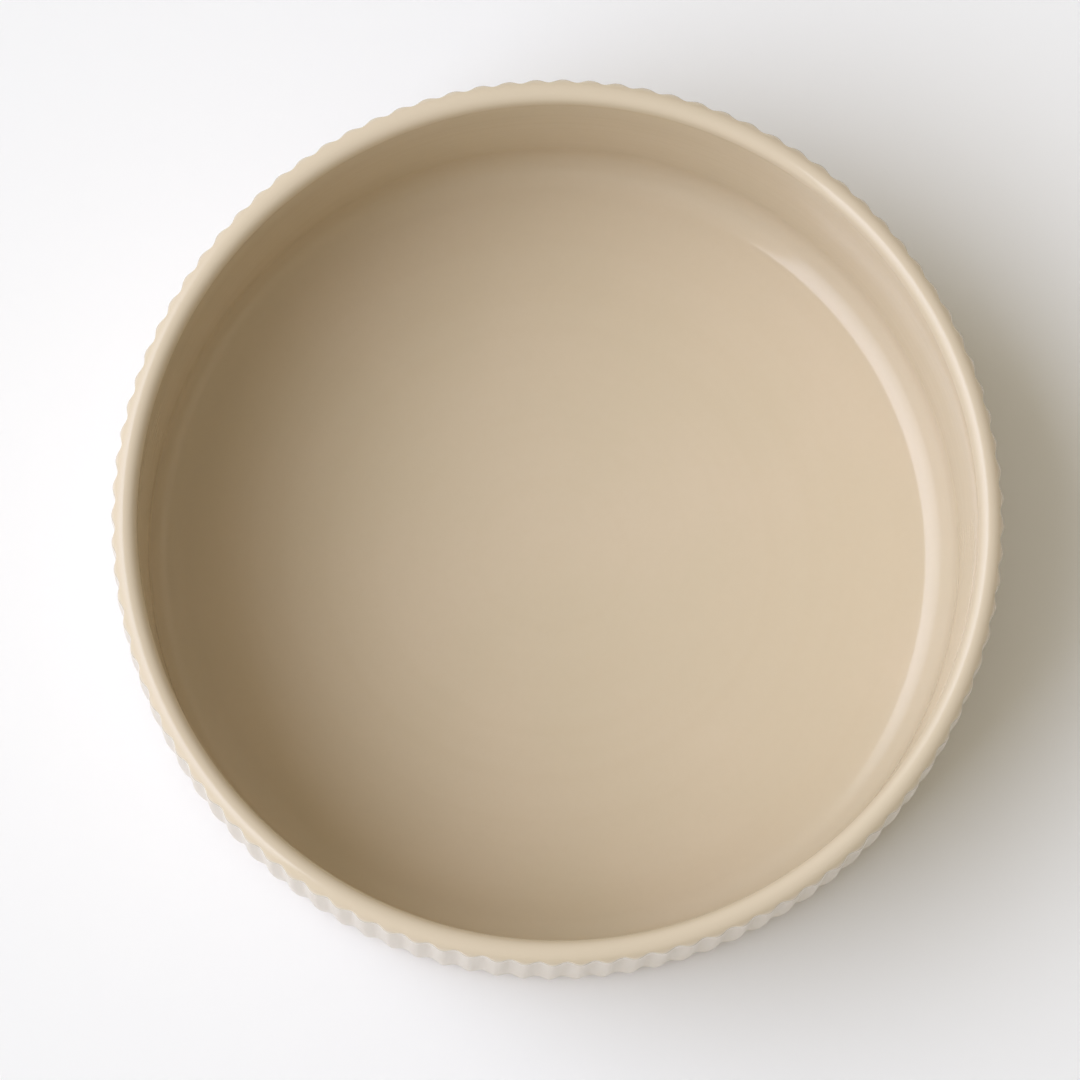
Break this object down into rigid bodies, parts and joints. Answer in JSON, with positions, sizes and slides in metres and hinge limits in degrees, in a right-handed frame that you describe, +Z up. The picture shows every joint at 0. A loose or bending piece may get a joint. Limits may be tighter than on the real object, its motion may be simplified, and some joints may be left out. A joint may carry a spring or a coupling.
{
  "type": "fluted ceramic dish",
  "caption": "Round, straight-walled stoneware dish with a flat floor, a finely fluted outer wall, a rounded rim and a beige gloss glaze over a bare clay foot ring.",
  "frame": {"origin": "centre of the foot ring's underside, on the surface that the dish stands on", "axes": "+Z up through the mouth, on the dish's axis; +X and +Y each pass through the tip of a flute"},
  "size_m": [0.2, 0.2, 0.075],
  "materials": {
    "clay": "fired bare clay, matt and slightly grainy",
    "liner_glaze": "beige gloss glaze with a very faint orange peel",
    "outer_glaze": "beige gloss glaze, slightly thinner on the tips of the flutes",
    "base_glaze": "beige gloss glaze"
  },
  "bodies": {
    "root": {"stoneware_body": "clay", "liner_glaze": "liner_glaze", "outer_glaze": "outer_glaze", "base_glaze": "base_glaze"}
  },
  "joints": []
}
